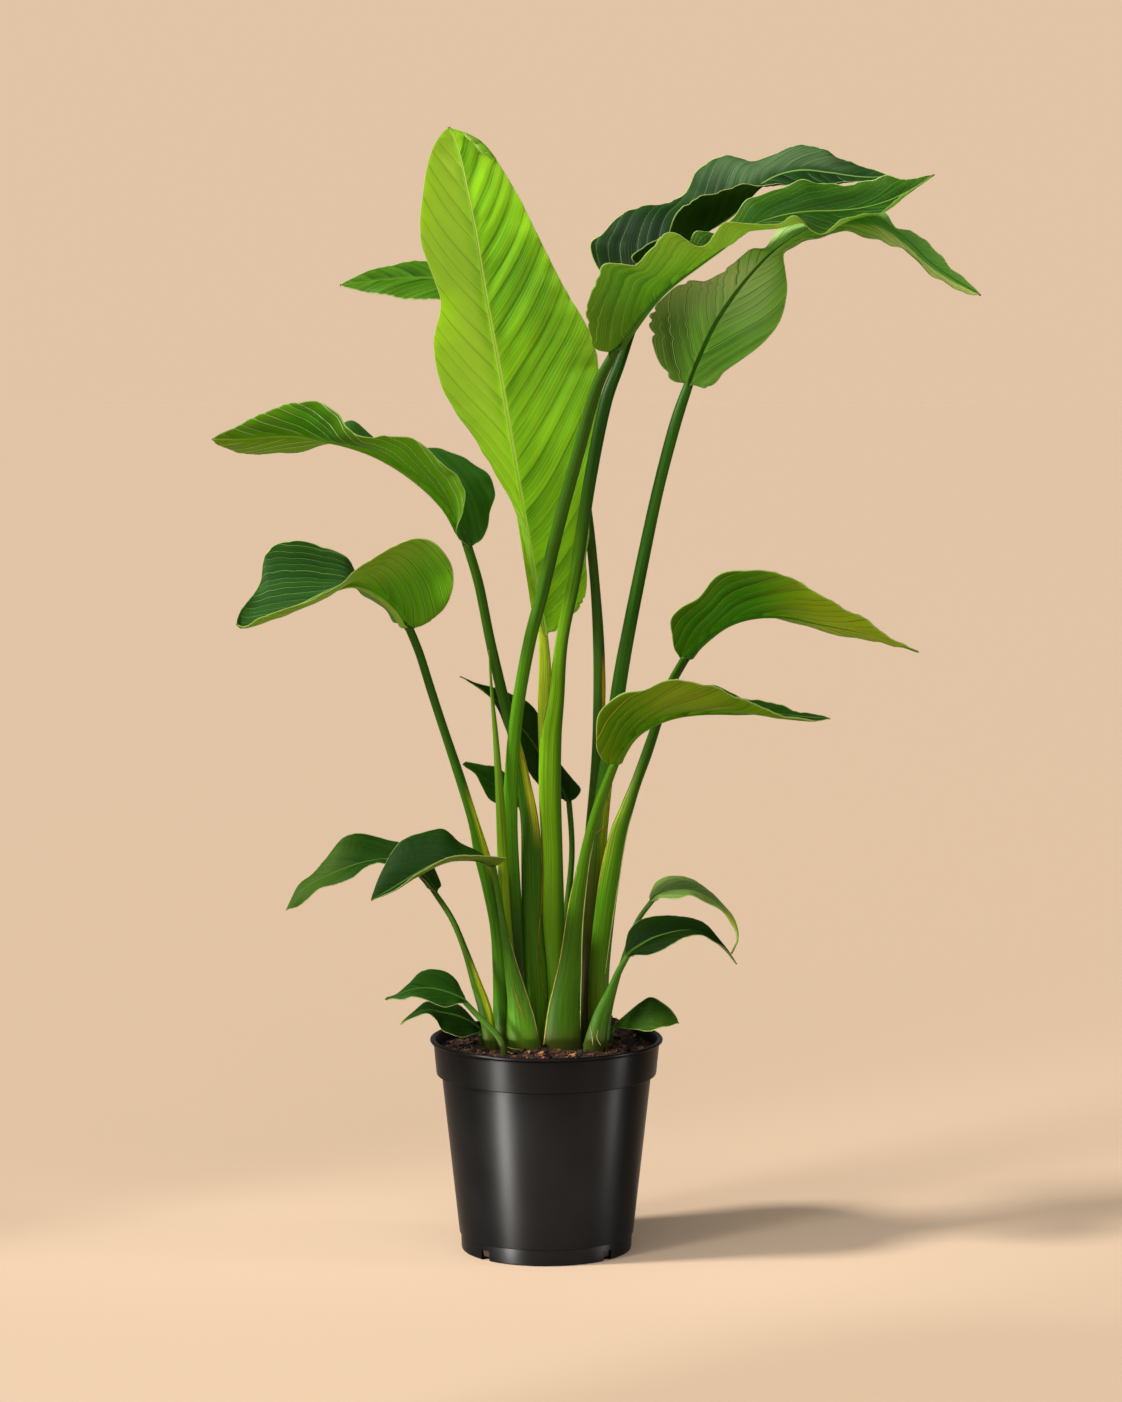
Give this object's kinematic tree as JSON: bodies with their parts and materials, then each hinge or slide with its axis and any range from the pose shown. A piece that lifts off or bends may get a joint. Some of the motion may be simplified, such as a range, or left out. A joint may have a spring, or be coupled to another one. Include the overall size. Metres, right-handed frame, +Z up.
{
  "type": "potted bird of paradise",
  "caption": "Bushy young bird of paradise: paddle-shaped leaves on long sheathed stems, standing in a soil-filled black nursery pot with a rolled rim.",
  "frame": {"origin": "centre of the pot's underside, on the surface that it stands on", "axes": "+Z up along the pot's axis, front of the plant to -Y, +X to the right"},
  "size_m": [0.7767, 0.24, 1.1516],
  "materials": {
    "pot": "satin",
    "soil": "matte",
    "stem": "satin",
    "spear": "satin",
    "leaf_lime": "satin",
    "leaf_green": "satin",
    "leaf_dark": "satin"
  },
  "bodies": {
    "root": {"pot": "pot", "soil": "soil", "stem_tall_center": "stem", "blade_tall_center": "leaf_lime", "stem_high_back_left": "stem", "blade_high_back_left": "leaf_green", "stem_high_back_right": "stem", "blade_high_back_right": "leaf_dark", "stem_high_front_right": "stem", "blade_high_front_right": "leaf_green", "stem_right_drooping": "stem", "blade_right_drooping": "leaf_green", "stem_left_high": "stem", "blade_left_high": "leaf_green", "stem_left_middle": "stem", "blade_left_middle": "leaf_green", "stem_right_middle": "stem", "blade_right_middle": "leaf_green", "stem_right_low_front": "stem", "blade_right_low_front": "leaf_green", "stem_left_low_back": "stem", "blade_left_low_back": "leaf_dark", "stem_left_low_front": "stem", "blade_left_low_front": "leaf_dark", "stem_left_rim_upper": "stem", "blade_left_rim_upper": "leaf_dark", "stem_left_rim_lower": "stem", "blade_left_rim_lower": "leaf_dark", "stem_right_low_upper": "stem", "blade_right_low_upper": "leaf_green", "stem_right_low_lower": "stem", "blade_right_low_lower": "leaf_dark", "stem_right_rim": "stem", "blade_right_rim": "leaf_green", "stem_inner_back": "stem", "blade_inner_back": "leaf_dark", "stem_inner_left": "stem", "blade_inner_left": "leaf_dark", "spear": "spear"}
  },
  "joints": []
}
